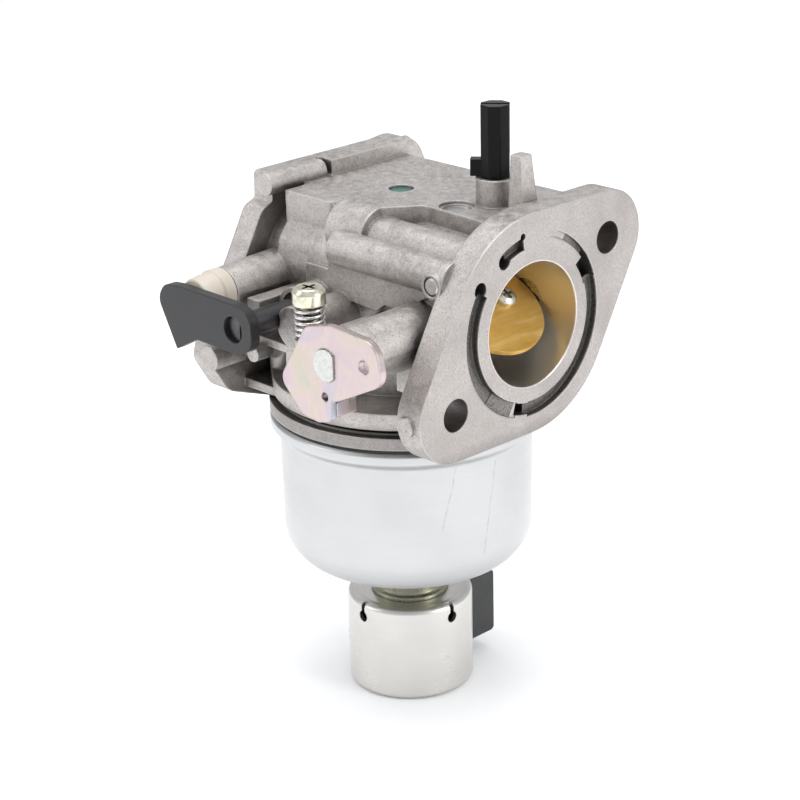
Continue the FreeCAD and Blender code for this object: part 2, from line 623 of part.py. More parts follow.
node("inlet_needle", turned("needle_turned", [
    (0, -3.3, 0), (0.6, -3.3, 0), (0.6, -2.4, 0), (1.8, -2.4, 0.3), (1.8, 1.4, 0), (0, 1.4, 0),
], ("needle_x", 0, "seat_z")))
node("inlet_needle_tip", turned("needle_tip_turned", [
    (0, 1.45, 0), (1.65, 1.45, 0), (0.45, 2.95, 0), (0, 2.95, 0),
], ("needle_x", 0, "seat_z")))


# ---------------------------------------------------------------- screw recess
def cross_slot(name, x, y, top, width, reach, depth):
    """Cross recess cutter for a screw head."""
    return [
        box(name + "_a", ("%s - %s" % (x, reach), "%s - %s" % (y, width), "%s - %s" % (top, depth)),
            ("%s + %s" % (x, reach), "%s + %s" % (y, width), "%s + 1" % top)),
        box(name + "_b", ("%s - %s" % (x, width), "%s - %s" % (y, reach), "%s - %s" % (top, depth)),
            ("%s + %s" % (x, width), "%s + %s" % (y, reach), "%s + 1" % top)),
    ]


# ---------------------------------------------------------------- throttle
def butterfly(name, radius, thickness, centre, turn):
    blade = doc.addObject("Part::Cylinder", name)
    bind(blade, Radius=radius, Height=thickness)
    return place(blade, centre, turn=turn)


def along(angle, distance, base_x, base_z):
    """Point at a distance from the shaft centre along a tilted blade's normal."""
    dx, dz = distance * math.cos(angle), distance * math.sin(angle)
    return ("%s + %.5f" % (base_x, dx), "%s + %.5f" % (base_z, dz))


tilt_angle = math.radians(size("throttle_tilt"))
flat_offset = size("throttle_offset")
normal_turn = FreeCAD.Rotation(Z, FreeCAD.Vector(math.cos(tilt_angle), 0, math.sin(tilt_angle)))
blade_x, blade_z = along(tilt_angle, flat_offset, "throttle_x", "0")
node("throttle_plate", butterfly("throttle_blade", "throttle_plate_r", "plate_t",
                                 (blade_x, 0, blade_z), normal_turn))


def shaft(name, radius, front_y, step_y, back_y, centre, angle, offset, bore, end_r, flat_at,
          flat_end=None):
    """Butterfly shaft: flat for the blade across the bore, D-shaped end for the lever."""
    x, z = centre
    rod = cyl(name + "_rod", radius, "%s - (%s)" % (back_y, step_y), (x, step_y, z), "y")
    end = cyl(name + "_end", end_r, "%s - (%s)" % (step_y, front_y), (x, front_y, z), "y")
    normal = FreeCAD.Rotation(Z, FreeCAD.Vector(math.cos(angle), 0, math.sin(angle)))
    fx, fz = along(angle, offset, x, z)
    relief = doc.addObject("Part::Box", name + "_flat")
    bind(relief, Length=12, Width="2 * (%s)" % bore, Height=6)
    corner = normal.multVec(FreeCAD.Vector(-6, 0, 0))
    place(relief, ("%s + %.5f" % (fx, corner.x), "-(%s)" % bore, "%s + %.5f" % (fz, corner.z)), turn=normal)
    side = box(name + "_side", ("%s + %s" % (x, flat_at), "%s - 1" % front_y, "%s - 6" % z),
               ("%s + 8" % x, flat_end or step_y, "%s + 6" % z))
    return cut(name + "_cut", fuse(name + "_blank", [rod, end]), [relief, side])


def blade_screws(name, angle, offset, thickness, x, z):
    """Two pan-head screws through the blade into the shaft."""
    turn = FreeCAD.Rotation(Z, FreeCAD.Vector(math.cos(angle), 0, math.sin(angle)))
    spread = size("screw_spread")
    screws = []
    for i, y in enumerate((-spread, spread)):
        sx, sz = along(angle, offset + thickness, x, z)
        head = turned("%s_head_%d" % (name, i), [
            (0, 0.02, 0), (2.4, 0.02, 0), (2.4, 0.9, 0.5), (1.4, 1.5, 0), (0, 1.5, 0),
        ])
        slots = cross_slot("%s_cross_%d" % (name, i), "0", "0", "1.5", 0.32, 1.3, 0.8)
        screw = cut("%s_screw_%d" % (name, i), head, slots)
        place(screw, (sx, y, sz), turn=turn)
        screws.append(screw)
    return group(name, screws)


THROTTLE = ("throttle_x", "0")
node("throttle_shaft", shaft("throttle_shaft", "throttle_shaft_r", "throttle_lever_y - 0.4",
                             "throttle_lever_y + throttle_lever_t + 0.03", 19.0, THROTTLE, tilt_angle,
                             flat_offset, "bore_r", "throttle_end_r", "throttle_flat"))
node("throttle_plate_screws", blade_screws("throttle_screws", tilt_angle, flat_offset, size("plate_t"),
                                           "throttle_x", "0"))


def lever_with_eye(name, joined, end_r, flat_at, at):
    """Lever whose D-shaped eye takes the shaft end."""
    round_hole = cyl(name + "_round", "%s + 0.03" % end_r, 14, (0, -7, 0), "y")
    across = box(name + "_flats", (-8, -8, -8), ("%s + 0.03" % flat_at, 8, 8))
    eye = doc.addObject("Part::Common", name + "_eye")
    eye.Base = round_hole
    eye.Tool = across
    lever = cut(name, joined, [eye])
    return place(lever, at)


blank = plate("lever_blank", "xz", rounded([
    (-12.9, -5.6, 2.5), (-5.4, 6.4, 2.5), (1.0, 8.0, 2), (13.3, 7.2, 4.2), (15.0, -0.4, 3.4),
    (3.0, -6.4, 1.5), (0.9, -7.0, 0.6), (0.9, -11.0, 1.2), (-2.5, -12.0, 2.5), (-7.0, -11.6, 3.5),
]) + [disc(10.1, 2.1, 1.35), disc(-0.6, -6.4, 0.9)], "throttle_lever_t", 0)
node("throttle_lever", lever_with_eye("throttle_lever_cut", blank, "throttle_end_r", "throttle_flat",
                                      ("throttle_x", "throttle_lever_y + throttle_lever_t", 0)))
node("throttle_stop_tab", box("stop_tab",
                              ("throttle_x - 0.6", "throttle_lever_y + throttle_lever_t + 0.01", -10.6),
                              ("throttle_x + 0.9", "throttle_lever_y + throttle_lever_t + 5.2", -7.7)))


# ---------------------------------------------------------------- choke
CHOKE = ("choke_x", "choke_z")
open_angle = math.pi / 2
node("choke_shaft", shaft("choke_shaft", "choke_shaft_r", "choke_lever_y + 1.0", -23.5, 18.0, CHOKE,
                          open_angle, size("choke_offset"), "horn_r", "choke_end_r", "choke_flat",
                          "choke_lever_y + choke_lever_t + 0.03"))
node("choke_plate", butterfly("choke_blade", "choke_plate_r", "plate_t",
                              ("choke_x", 0, "choke_z + choke_offset"), FreeCAD.Rotation()))
node("choke_plate_screws", blade_screws("choke_screws", open_angle, size("choke_offset"), size("plate_t"),
                                        "choke_x", "choke_z"))

choke_blank = plate("choke_blank", "xz", rounded([
    (-22.9, 1.6, 3.0), (-20.6, 4.9, 3.0), (-17.0, 5.3, 1.0), (0.5, 5.2, 4.6), (5.3, 4.0, 3.5),
    (5.3, -3.2, 3.5), (1.0, -5.0, 3), (-11.5, -4.7, 1.5), (-17.7, -8.2, 0.4),
]), "choke_lever_t", 0)
recess = cyl("choke_recess", 2.7, 2, (0, "-choke_lever_t - 0.8", 0), "y")
choke_body = cut("choke_body", choke_blank, [recess])
node("choke_lever", lever_with_eye("choke_lever_cut", choke_body, "choke_end_r", "choke_flat",
                                   ("choke_x", "choke_lever_y + choke_lever_t", "choke_z")))


# ---------------------------------------------------------------- adjusters
idle_blank = turned("idle_turned", [
    (0, size("idle_tip_z"), 0), (1.2, size("idle_tip_z"), 0.3), (2.0, size("idle_tip_z") + 1.2, 0),
    (2.0, size("idle_head_z") - 3.4, 0), (3.25, size("idle_head_z") - 3.4, 0.3),
    (3.25, size("idle_head_z") - 0.9, 0.8), (2.6, size("idle_head_z"), 0.3), (0, size("idle_head_z"), 0),
], ("idle_x", "idle_y", 0))
idle_cross = cross_slot("idle_cross", "idle_x", "idle_y", "idle_head_z", 0.4, 1.7, 1.3)
node("idle_speed_screw", cut("idle_cut", idle_blank, idle_cross))
node("idle_speed_spring", spring("idle_coil", 2.65, 0.35, 1.15, 6.0, ("idle_x", "idle_y", 2.15)))

node("mixture_needle", turned("mixture_turned", [
    (0, 11.4, 0), (0.4, 11.4, 0), (1.2, 14.0, 0), (1.55, 14.0, 0), (1.55, size("cap_top_z") - 8, 0),
    (0, size("cap_top_z") - 8, 0),
], ("mixture_x", "mixture_y", 0)))
node("mixture_spring", spring("mixture_coil", 2.2, 0.32, 1.15, 4.0, ("mixture_x", "mixture_y", 20.35)))


def limiter_cap():
    base, top = size("mixture_boss_z") + 0.15, size("cap_top_z")
    sides = []
    for i in range(8):
        angle = math.radians(45 * i + 22.5)
        sides.append((3.05 * math.cos(angle), 3.05 * math.sin(angle), 0.4))
    column = plate("cap_column", "xy", rounded(sides), top - base, base)
    tab = box("cap_tab", (-4.9, -1.2, base + 0.2), (0, 1.2, base + 3.5))
    blank = fuse("cap_blank", [column, tab])
    cutters = [
        cyl("cap_bore", 1.58, top - 8 - base + 1, (0, 0, base - 1)),
        box("cap_slot", (-4, -0.5, top - 1.6), (4, 0.5, top + 1)),
        box("cap_flute", (2.35, -0.5, base + 4.5), (4, 0.5, top + 1)),
    ]
    cap = cut("cap_cut", blank, cutters)
    return place(cap, ("mixture_x", "mixture_y", 0), turn=FreeCAD.Rotation(Z, 40))


node("limiter_cap", limiter_cap())


# ---------------------------------------------------------------- write the pieces
doc.recompute()
os.makedirs("parts", exist_ok=True)
for obj in doc.Objects:
    if "Invalid" in obj.State or "Error" in obj.State:
        raise RuntimeError("%s did not compute: %s" % (obj.Name, obj.State))
for obj in NODES:
    if not obj.Shape.isValid() or not obj.Shape.Solids:
        raise RuntimeError("%s is not a valid solid" % obj.Label)
    obj.Shape.exportStep("parts/%s.step" % obj.Label)
    print(obj.Label, len(obj.Shape.Solids), round(obj.Shape.Volume, 1))
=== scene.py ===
import json
import math

import bmesh
import bpy
from mathutils import Matrix, Vector


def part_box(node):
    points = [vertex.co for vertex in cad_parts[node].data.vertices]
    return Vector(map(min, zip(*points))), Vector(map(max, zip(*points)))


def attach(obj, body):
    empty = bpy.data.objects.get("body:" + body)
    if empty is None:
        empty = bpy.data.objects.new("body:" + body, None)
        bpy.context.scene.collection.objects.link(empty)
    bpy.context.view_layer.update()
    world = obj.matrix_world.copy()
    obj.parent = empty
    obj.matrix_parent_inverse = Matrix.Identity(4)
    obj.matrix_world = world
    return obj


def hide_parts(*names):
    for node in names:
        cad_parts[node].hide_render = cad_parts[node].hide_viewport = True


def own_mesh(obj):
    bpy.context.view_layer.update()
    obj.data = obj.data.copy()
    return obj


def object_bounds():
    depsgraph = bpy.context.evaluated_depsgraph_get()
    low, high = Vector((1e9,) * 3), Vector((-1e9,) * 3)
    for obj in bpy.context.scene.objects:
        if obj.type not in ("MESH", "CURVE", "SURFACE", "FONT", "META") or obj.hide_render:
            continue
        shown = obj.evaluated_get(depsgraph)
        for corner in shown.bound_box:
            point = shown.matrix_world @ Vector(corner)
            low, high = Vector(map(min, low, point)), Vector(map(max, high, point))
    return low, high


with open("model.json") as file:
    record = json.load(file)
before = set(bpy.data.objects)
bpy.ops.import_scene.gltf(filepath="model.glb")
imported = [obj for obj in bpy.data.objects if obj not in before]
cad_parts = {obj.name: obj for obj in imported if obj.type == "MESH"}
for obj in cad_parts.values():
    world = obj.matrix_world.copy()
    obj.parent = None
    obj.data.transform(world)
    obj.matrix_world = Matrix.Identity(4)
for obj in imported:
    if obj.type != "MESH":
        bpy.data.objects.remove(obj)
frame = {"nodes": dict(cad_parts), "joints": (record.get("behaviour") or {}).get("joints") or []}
nodes = frame["nodes"]
joints = {joint["name"]: joint for joint in frame["joints"]}
cad_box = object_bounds()
scene = bpy.context.scene
MM = 0.001


# ---------------------------------------------------------------- places on the part, metres
def upright_axis(name):
    """A point on the vertical axis through the middle of a round piece."""
    low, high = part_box(name)
    return ((low.x + high.x) / 2, (low.y + high.y) / 2, 0)


BOWL_AXIS = upright_axis("solenoid_can")
SCREW_AXIS = joints["idle_speed_turn"]["pos_m"]
HORN_FACE, ENGINE_FACE = (corner.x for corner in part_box("body_casting"))
FACE_SKIN = 0.3 * MM  # how far below a flange face its machined look reaches
THROAT_RADIUS = 12.5 * MM
THROTTLE_BORE_LENGTH = 26.0 * MM
FLANGE_THICKNESS = 6.8 * MM
GROOVE_TOP, GROOVE_FLOOR = -0.4 * MM, -4.5 * MM
GROOVE_INNER, GROOVE_OUTER = 14.9 * MM, 18.8 * MM
STUD_CIRCLE_RADIUS = 25.0 * MM
STUD_LEAN = math.radians(30)
STUD_HOLE_RADIUS = 3.3 * MM
SEAT_INNER = 25.0 * MM
SEAT_TOP, SEAT_BOTTOM = -19.5 * MM, -22.0 * MM
THREAD_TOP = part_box("idle_speed_spring")[1].z  # the spring ends under the plain head
THREAD_PITCH = 0.7 * MM
# start angle, start height, end angle, end height and width of each hairline on the bowl
BOWL_SCRATCHES = (
    (-0.389, -29.7 * MM, -0.509, -43.3 * MM, 0.007),
    (-0.031, -30.7 * MM, -0.151, -50.3 * MM, 0.008),
)


# ---------------------------------------------------------------- material helpers
class Finish:
    """One procedural material, built node by node in object coordinates (metres)."""

    COLOUR_A, COLOUR_B, COLOUR_OUT = 6, 7, 2  # the Mix node's sockets for colours
    CREASE_SAMPLES, ROUNDING_SAMPLES = 6, 5

    def __init__(self, name, colour=(0.8, 0.8, 0.8), metal=0.0, rough=0.5, **sockets):
        self.material = bpy.data.materials.new(name)
        self.material.use_nodes = True
        self.material.diffuse_color = (*colour, 1)
        self.tree = self.material.node_tree
        self.bsdf = self.tree.nodes["Principled BSDF"]
        self.set("Base Color", (*colour, 1))
        self.set("Metallic", metal)
        self.set("Roughness", rough)
        for socket, value in sockets.items():
            self.set(socket.replace("_", " "), value)
        coords = self.node("ShaderNodeTexCoord")
        self.place = coords.outputs["Object"]
        self.facing = coords.outputs["Normal"]

    def set(self, socket, value):
        self.feed(self.bsdf.inputs[socket], value)

    def feed(self, socket, value):
        if isinstance(value, bpy.types.NodeSocket):
            self.tree.links.new(value, socket)
        elif value is not None:
            socket.default_value = value

    def node(self, kind, inputs=None, **props):
        made = self.tree.nodes.new(kind)
        for key, value in props.items():
            setattr(made, key, value)
        for key, value in (inputs or {}).items():
            self.feed(made.inputs[key], value)
        return made

    def math(self, operation, *values):
        made = self.node("ShaderNodeMath", operation=operation)
        for socket, value in zip(made.inputs, values):
            self.feed(socket, value)
        return made.outputs[0]

    def product(self, first, *rest):
        """Values multiplied together: of tests, 1 where all of them hold."""
        for value in rest:
            first = self.math("MULTIPLY", first, value)
        return first

    def above(self, value, limit):
        return self.math("GREATER_THAN", value, limit)

    def below(self, value, limit):
        return self.math("LESS_THAN", value, limit)

    def between(self, value, low, high):
        return self.product(self.above(value, low), self.below(value, high))

    def hypotenuse(self, a, b):
        return self.math("SQRT", self.math("ADD", self.product(a, a), self.product(b, b)))

    def vector(self, operation, a, b=None):
        made = self.node("ShaderNodeVectorMath", operation=operation)
        for socket, value in zip(made.inputs, (a, b)):
            self.feed(socket, value)
        return made.outputs["Value" if operation in ("LENGTH", "DOT_PRODUCT") else "Vector"]

    def axes(self, vector=None):
        return self.node("ShaderNodeSeparateXYZ", {0: vector or self.place}).outputs

    def stretch(self, scale):
        return self.vector("MULTIPLY", self.place, scale)

    def noise(self, scale, detail=3.0, rough=0.55, distortion=0.0, vector=None):
        made = self.node("ShaderNodeTexNoise", {
            "Vector": vector or self.place, "Scale": scale, "Detail": detail,
            "Roughness": rough, "Distortion": distortion})
        return made.outputs["Fac"]

    def ramp(self, value, *stops):
        made = self.node("ShaderNodeValToRGB", {"Fac": value})
        points = made.color_ramp.elements
        while len(points) < len(stops):
            points.new(0.5)
        for point, (at, colour) in zip(points, stops):
            point.position = at
            point.color = (*colour, 1)
        return made.outputs["Color"]

    def mix(self, share, a, b):
        """Colour a where the share is 0, colour b where it is 1."""
        made = self.node("ShaderNodeMix", data_type="RGBA")
        self.feed(made.inputs["Factor"], share)
        for socket, value in ((self.COLOUR_A, a), (self.COLOUR_B, b)):
            self.feed(made.inputs[socket], (*value, 1) if isinstance(value, tuple) else value)
        return made.outputs[self.COLOUR_OUT]

    def span(self, value, low, high, to_low=0.0, to_high=1.0):
        """Low to high stretched over a new range, and held at its ends beyond."""
        made = self.node("ShaderNodeMapRange", {
            "Value": value, "From Min": low, "From Max": high, "To Min": to_low, "To Max": to_high})
        return made.outputs["Result"]

    def crease(self, distance):
        """1 in the open, falling to 0 deep in corners."""
        made = self.node("ShaderNodeAmbientOcclusion", {"Distance": distance}, samples=self.CREASE_SAMPLES)
        return made.outputs["AO"]

    def grime_and_shade(self, tone, distance, deepest, clear, amount, dirt_and_shade):
        """Painted shade with some dirt, thickening into corners from where they are clear to where they are
        deepest.
        """
        return self.mix(self.span(self.crease(distance), deepest, clear, amount, 0.0), tone, dirt_and_shade)

    def rounding(self, radius):
        """The normal as if every edge were rounded."""
        made = self.node("ShaderNodeBevel", {"Radius": radius}, samples=self.ROUNDING_SAMPLES)
        return made.outputs["Normal"]

    def bump(self, height, depth, strength, normal):
        made = self.node("ShaderNodeBump", {
            "Strength": strength, "Distance": depth, "Height": height, "Normal": normal})
        return made.outputs["Normal"]

    def polar(self, centre):
        """(radius, angle, height) about a vertical axis through a point, in metres and radians."""
        x, y, z = self.axes(self.vector("SUBTRACT", self.place, centre))
        return self.hypotenuse(x, y), self.math("ARCTAN2", y, x), z


def dress(finish, *names):
    for name in names:
        piece = nodes[name]
        piece.data.materials.clear()
        piece.data.materials.append(finish.material)


def darker(colour, share):
    return tuple(channel * share for channel in colour)


# ---------------------------------------------------------------- cast aluminium
def cast_skin(f, patches, mottle, grain):
    """The skin as it left the die."""
    light, dark = (0.58, 0.543, 0.519), (0.39, 0.363, 0.346)
    glint, pores = (0.69, 0.653, 0.629), (0.20, 0.19, 0.18)
    tone = f.mix(f.span(patches, 0.34, 0.66, 0.0, 0.9), light, dark)
    tone = f.mix(f.span(mottle, 0.40, 0.68, 0.0, 0.65), tone, glint)
    return f.mix(f.span(grain, 0.32, 0.51, 0.50, 0.0), tone, pores)


def machined_skin(f, patches, grain):
    """Flange faces, cut flat and stained since."""
    dark, light = (0.44, 0.410, 0.391), (0.575, 0.538, 0.516)
    stain, pores = (0.40, 0.371, 0.354), (0.24, 0.23, 0.22)
    tone = f.mix(f.span(f.noise(1700, 4, 0.7), 0.35, 0.7), dark, light)
    tone = f.mix(f.span(patches, 0.38, 0.62, 0.0, 0.7), tone, stain)
    return f.mix(f.span(grain, 0.30, 0.48, 0.55, 0.0), tone, pores)


def flange_faces(f, x):
    """1 on the machined ends of the throat, which look along it."""
    along = f.above(f.math("ABSOLUTE", f.axes(f.facing)[0]), 0.95)
    ends = f.math("ADD", f.above(x, ENGINE_FACE - FACE_SKIN), f.below(x, HORN_FACE + FACE_SKIN))
    return f.product(along, ends)


def stud_hole(f, x, side):
    """1 inside one of the engine flange's two stud holes."""
    reach = side * STUD_CIRCLE_RADIUS
    stud = (0, reach * math.cos(STUD_LEAN), reach * math.sin(STUD_LEAN))
    across = f.vector("MULTIPLY", f.vector("SUBTRACT", f.place, stud), (0, 1, 1))
    return f.product(f.below(f.vector("LENGTH", across), STUD_HOLE_RADIUS + 0.05 * MM),
                     f.above(x, -FLANGE_THICKNESS))


def cast_aluminium():
    f = Finish("cast_aluminium", metal=1.0)
    x, y, z = f.axes()
    patches = f.noise(85, 4, 0.6)
    mottle = f.noise(620, 4, 0.65)
    grain = f.noise(3000, 2, 0.6)
    off_axis = f.hypotenuse(y, z)
    face = flange_faces(f, x)
    bore = f.product(f.below(off_axis, THROAT_RADIUS + 0.2 * MM), f.above(x, -THROTTLE_BORE_LENGTH))
    colour = f.mix(face, cast_skin(f, patches, mottle, grain), machined_skin(f, patches, grain))

    # painted shade on the floor of the vent grooves and inside the stud holes, darker seat round the bowl
    ring = f.between(off_axis, GROOVE_INNER, GROOVE_OUTER)
    groove = f.product(f.between(x, GROOVE_FLOOR, GROOVE_TOP), ring)
    groove_shade = f.mix(f.span(grain, 0.35, 0.6), (0.07, 0.064, 0.06), (0.20, 0.19, 0.18))
    colour = f.mix(f.product(groove, 0.8), colour, groove_shade)
    for side in (1, -1):
        colour = f.mix(f.product(stud_hole(f, x, side), 0.75), colour, (0.09, 0.072, 0.066))
    seat = f.product(f.above(f.polar(BOWL_AXIS)[0], SEAT_INNER), f.span(z, SEAT_TOP, SEAT_BOTTOM, 0.0, 0.45))
    colour = f.mix(seat, colour, (0.17, 0.16, 0.15))

    # painted highlight on the edges, where the rounded normal leaves the flat one; painted shade with some
    # dirt in the corners
    smooth = f.rounding(0.5 * MM)
    true = f.node("ShaderNodeNewGeometry").outputs["Normal"]
    near = f.crease(3 * MM)
    bend = f.span(f.vector("DOT_PRODUCT", smooth, true), 0.96, 0.78)
    edge_highlight = f.product(bend, f.span(near, 0.55, 0.9))
    # painted highlight: lighter colour along the edges
    colour = f.mix(f.product(edge_highlight, 0.7), colour, (0.78, 0.76, 0.74))
    colour = f.grime_and_shade(colour, 14 * MM, 0.05, 0.68, 0.52, (0.11, 0.105, 0.10))
    # painted shade: near black deep in the tightest corners
    colour = f.mix(f.span(near, 0.25, 0.90, 0.50, 0.0), colour, (0.075, 0.07, 0.066))
    f.set("Base Color", f.mix(bore, colour, (0.80, 0.765, 0.72)))

    rough = f.math("ADD", f.span(mottle, 0.3, 0.7, 0.42, 0.60), f.product(face, -0.04))
    f.set("Roughness", f.node("ShaderNodeMix", {"Factor": bore, "A": rough, "B": 0.36}).outputs["Result"])

    # grainy skin outside, faint tool rings in the bore
    rings = f.math("SINE", f.product(x, 9000.0))
    relief = f.math("ADD", f.product(grain, 0.6), f.product(mottle, 0.4))
    relief = f.math("ADD", f.product(relief, f.math("SUBTRACT", 1.0, bore)), f.product(rings, bore, 0.02))
    f.set("Normal", f.bump(relief, 0.2 * MM, 0.55, smooth))
    return f


# ---------------------------------------------------------------- plated steel
def scratch(f, angle, height, start_angle, start_height, end_angle, end_height, width):
    """A broken hairline that leans and wavers between two points of a round wall."""
    lean = (end_angle - start_angle) / (end_height - start_height)
    middle = f.math("MULTIPLY_ADD", height, lean, start_angle - lean * start_height)
    waver = f.span(f.noise(160, 2), 0.3, 0.7, -0.008, 0.008)
    off = f.math("ABSOLUTE", f.math("SUBTRACT", f.math("ADD", angle, waver), middle))
    line = f.span(off, width * 0.3, width, 1.0, 0.0)
    bottom, top = sorted((start_height, end_height))
    broken = f.span(f.noise(700, 2), 0.35, 0.6, 0.25, 1.0)
    return f.product(line, f.between(height, bottom, top), broken)


def zinc(name, centre, colour, dull, shiny, matt, scratches=()):
    """Clear zinc plate, with faint turning streaks round a vertical axis and hairline scratches."""
    f = Finish(name, metal=1.0)
    radius, angle, height = f.polar(centre)
    around = f.node("ShaderNodeCombineXYZ", {0: f.product(angle, 0.8 * MM), 1: height, 2: radius}).outputs[0]
    cloud = f.noise(55, 4, 0.5)
    streaks = f.noise(1500, 3, 0.6, vector=around)
    tone = f.mix(f.span(cloud, 0.3, 0.7), colour, dull)
    tone = f.mix(f.span(streaks, 0.45, 0.8, 0.0, 0.10), tone, darker(dull, 0.8))
    for mark in scratches:
        tone = f.mix(f.product(scratch(f, angle, height, *mark), 0.55), tone, (0.34, 0.33, 0.32))
    # painted shade with some dirt, darker into the corners
    f.set("Base Color", f.grime_and_shade(tone, 4 * MM, 0.1, 0.7, 0.5, (0.16, 0.16, 0.15)))
    rough = f.math("ADD", f.span(cloud, 0.3, 0.7, shiny, matt), f.span(streaks, 0.3, 0.8, 0.0, 0.05))
    f.set("Roughness", rough)
    f.set("Normal", f.bump(streaks, 0.01 * MM, 0.25, f.rounding(0.3 * MM)))
    return f


def dichromate(name, olive=0.0):
    """Zinc with a yellow passivate that drifts between violet, pink, straw and green."""
    f = Finish(name, metal=1.0)
    violet, pink, peach = (0.48, 0.48, 0.54), (0.57, 0.475, 0.50), (0.60, 0.50, 0.49)
    straw, green = (0.57, 0.51, 0.43), (0.45, 0.49, 0.46)
    drift = f.noise(105, 3, 0.5, 0.9)
    tint = f.ramp(drift, (0.28, violet), (0.40, pink), (0.50, peach), (0.60, straw), (0.74, green))
    tint = f.mix(olive, tint, (0.22, 0.25, 0.15))
    scuffs = f.noise(900, 3, 0.6, vector=f.stretch((1.0, 1.0, 0.25)))
    tint = f.mix(f.span(scuffs, 0.58, 0.75, 0.0, 0.35), tint, (0.62, 0.60, 0.60))
    # painted shade with some dirt, darker into the corners
    f.set("Base Color", f.grime_and_shade(tint, 2 * MM, 0.1, 0.7, 0.45, (0.20, 0.18, 0.14)))
    f.set("Roughness", f.span(scuffs, 0.3, 0.7, 0.24, 0.40))
    f.set("Normal", f.bump(scuffs, 0.03 * MM, 0.25, f.rounding(0.5 * MM)))
    return f


def steel(name, colour, shiny, matt):
    """Bare metal, worn darker in places."""
    f = Finish(name, metal=1.0)
    wear = f.noise(1400, 3, 0.6)
    tone = f.mix(f.span(wear, 0.4, 0.75, 0.0, 0.5), colour, darker(colour, 0.7))
    # painted shade with some dirt, darker into the corners
    f.set("Base Color", f.grime_and_shade(tone, 2 * MM, 0.1, 0.7, 0.5, (0.10, 0.09, 0.08)))
    f.set("Roughness", f.span(wear, 0.3, 0.7, shiny, matt))
    f.set("Normal", f.bump(wear, 0.03 * MM, 0.3, f.rounding(0.2 * MM)))
    return f


def threaded(name, centre, top, pitch, colour):
    """Plated screw: fine helical thread below a height, plain above it."""
    f = Finish(name, metal=1.0)
    _, angle, height = f.polar(centre)
    turns = f.math("ADD", f.math("DIVIDE", height, pitch), f.math("DIVIDE", angle, 2 * math.pi))
    wave = f.math("ABSOLUTE", f.math("SUBTRACT", f.math("FRACT", turns), 0.5))
    shank = f.below(height, top)
    stain = f.noise(420, 4, 0.6)
    tone = f.mix(f.span(stain, 0.40, 0.62), colour, (0.58, 0.56, 0.47))
    # painted shade: darker along the roots of the thread
    tone = f.mix(f.product(f.span(wave, 0.0, 0.22, 0.6, 0.0), shank), tone, (0.14, 0.12, 0.08))
    # painted shade with some dirt, darker into the corners
    f.set("Base Color", f.grime_and_shade(tone, 1.6 * MM, 0.15, 0.75, 0.75, (0.10, 0.08, 0.04)))
    f.set("Roughness", f.span(stain, 0.3, 0.7, 0.16, 0.30))
    f.set("Normal", f.bump(f.product(wave, shank), 0.5 * MM, 0.9, f.rounding(0.2 * MM)))
    return f


# ---------------------------------------------------------------- brass, plastics, rubber
def brass(name, streak_scale):
    """Brass with light and dark smears drawn out along the axis of smallest scale."""
    f = Finish(name, metal=0.8)
    smear = f.noise(420, 4, 0.6, 0.4, vector=f.stretch(streak_scale))
    stain = f.noise(130, 3, 0.6)
    tone = f.mix(f.span(stain, 0.35, 0.7), (0.86, 0.57, 0.16), (0.72, 0.44, 0.10))
    tone = f.mix(f.span(smear, 0.30, 0.46, 0.55, 0.0), tone, (0.50, 0.30, 0.07))
    tone = f.mix(f.span(smear, 0.52, 0.70, 0.0, 0.6), tone, (0.95, 0.72, 0.32))
    f.set("Base Color", tone)
    f.set("Roughness", f.span(smear, 0.3, 0.7, 0.34, 0.50))
    f.set("Normal", f.bump(smear, 0.05 * MM, 0.3, f.rounding(0.15 * MM)))
    return f


def moulded(name, colour, light, shiny, matt, grain_depth=0.04 * MM, **sockets):
    """Plastic, rubber or fibre, clouded and flecked with a lighter tone."""
    f = Finish(name, colour=colour, **sockets)
    grain = f.noise(2600, 2, 0.6)
    cloud = f.noise(160, 4, 0.6)
    tone = f.mix(f.span(cloud, 0.35, 0.75, 0.0, 0.6), colour, light)
    tone = f.mix(f.span(grain, 0.62, 0.75, 0.0, 0.35), tone, light)
    f.set("Base Color", tone)
    f.set("Roughness", f.span(cloud, 0.3, 0.7, shiny, matt))
    f.set("Normal", f.bump(grain, grain_depth, 0.35, f.rounding(0.35 * MM)))
    return f


# ---------------------------------------------------------------- which piece wears what
# each call gives its colours and then the least and greatest roughness
spring_wire = steel("spring_wire", (0.72, 0.71, 0.70), 0.16, 0.30)

dress(cast_aluminium(), "body_casting")
dress(zinc("bowl_zinc", BOWL_AXIS, (0.588, 0.592, 0.594), (0.552, 0.560, 0.563), 0.28, 0.38, BOWL_SCRATCHES),
      "fuel_bowl")
dress(zinc("can_zinc", BOWL_AXIS, (0.75, 0.73, 0.70), (0.65, 0.633, 0.608), 0.22, 0.34),
      "solenoid_can", "solenoid_end_plate")
dress(dichromate("lever_dichromate"), "throttle_lever", "throttle_stop_tab")
dress(dichromate("bushing_dichromate", olive=0.75), "solenoid_bushing")
dress(threaded("idle_screw_zinc", SCREW_AXIS, THREAD_TOP, THREAD_PITCH, (0.88, 0.85, 0.66)),
      "idle_speed_screw")

dress(steel("pressed_plug", (0.62, 0.61, 0.60), 0.28, 0.45), "deck_cup_plug", "side_swage_plug")
